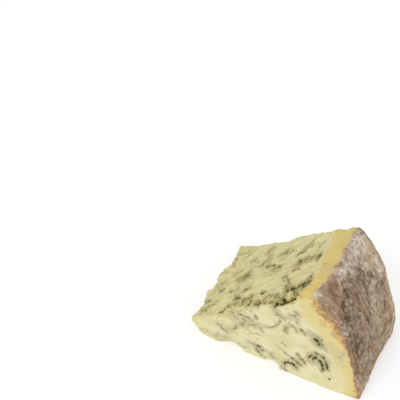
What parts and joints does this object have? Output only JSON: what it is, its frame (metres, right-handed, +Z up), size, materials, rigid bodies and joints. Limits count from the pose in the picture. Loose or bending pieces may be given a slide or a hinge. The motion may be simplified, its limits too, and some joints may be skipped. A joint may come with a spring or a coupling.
{
  "type": "stilton wedge",
  "caption": "Loose wedge of a crusted blue cheese lying on one radial cut, with crumbly veined paste, a smooth wire-cut front and a rough rind.",
  "frame": {"origin": "centre of the bounding box's base, on the plane that the wedge lies on", "axes": "+X from the broken tip towards the rind, +Y along the wheel's axis from the shown wire-cut face to the hidden one, +Z up from the lower radial cut"},
  "size_m": [0.0934, 0.0582, 0.0649],
  "materials": {
    "cheese_paste": "matte"
  },
  "bodies": {
    "root": {"cheese_wedge": "cheese_paste"}
  },
  "joints": []
}
